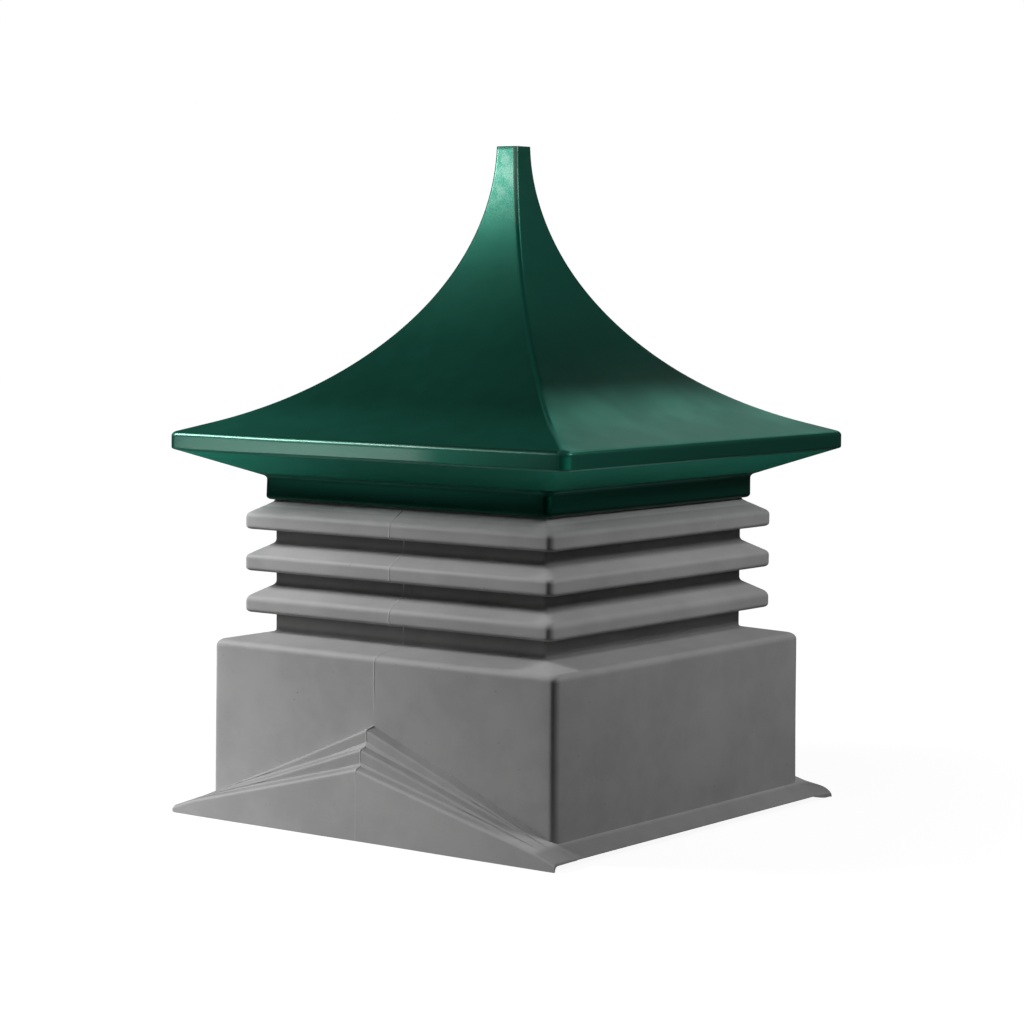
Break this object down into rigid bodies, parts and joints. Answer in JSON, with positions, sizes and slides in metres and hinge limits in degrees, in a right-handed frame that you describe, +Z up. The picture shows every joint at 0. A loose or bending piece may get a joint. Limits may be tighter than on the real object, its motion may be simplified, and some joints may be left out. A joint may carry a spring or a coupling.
{
  "type": "roof cupola",
  "caption": "Square moulded roof cupola with stepped gable saddle skirts, louvred neck and a concave bell-cast roof that rises to a square peak.",
  "frame": {"origin": "centre of the rectangle on which the two gable skirts stand, at their lower edges", "axes": "+Z up, towards the peak; -Y out of the front gable side; +X out of the right eave side"},
  "size_m": [0.528, 0.528, 0.7199],
  "materials": {
    "body_shell": "satin moulded plastic, mid grey",
    "roof_shell": "satin moulded plastic, dark green"
  },
  "bodies": {
    "root": {"back_collar": "roof_shell", "back_lower_louvre": "body_shell", "back_lower_panel": "body_shell", "back_middle_louvre": "body_shell", "back_middle_step": "body_shell", "back_neck": "body_shell", "back_roof_slope": "roof_shell", "back_shoulder": "body_shell", "back_soffit": "roof_shell", "back_upper_louvre": "body_shell", "back_upper_step": "body_shell", "back_wall": "body_shell", "front_collar": "roof_shell", "front_lower_louvre": "body_shell", "front_lower_panel": "body_shell", "front_middle_louvre": "body_shell", "front_middle_step": "body_shell", "front_neck": "body_shell", "front_roof_slope": "roof_shell", "front_shoulder": "body_shell", "front_soffit": "roof_shell", "front_upper_louvre": "body_shell", "front_upper_step": "body_shell", "front_wall": "body_shell", "left_collar": "roof_shell", "left_flange": "body_shell", "left_lower_louvre": "body_shell", "left_middle_louvre": "body_shell", "left_neck": "body_shell", "left_roof_slope": "roof_shell", "left_shoulder": "body_shell", "left_soffit": "roof_shell", "left_upper_louvre": "body_shell", "left_wall": "body_shell", "peak_stub": "roof_shell", "right_collar": "roof_shell", "right_flange": "body_shell", "right_lower_louvre": "body_shell", "right_middle_louvre": "body_shell", "right_neck": "body_shell", "right_roof_slope": "roof_shell", "right_shoulder": "body_shell", "right_soffit": "roof_shell", "right_upper_louvre": "body_shell", "right_wall": "body_shell"}
  },
  "joints": []
}
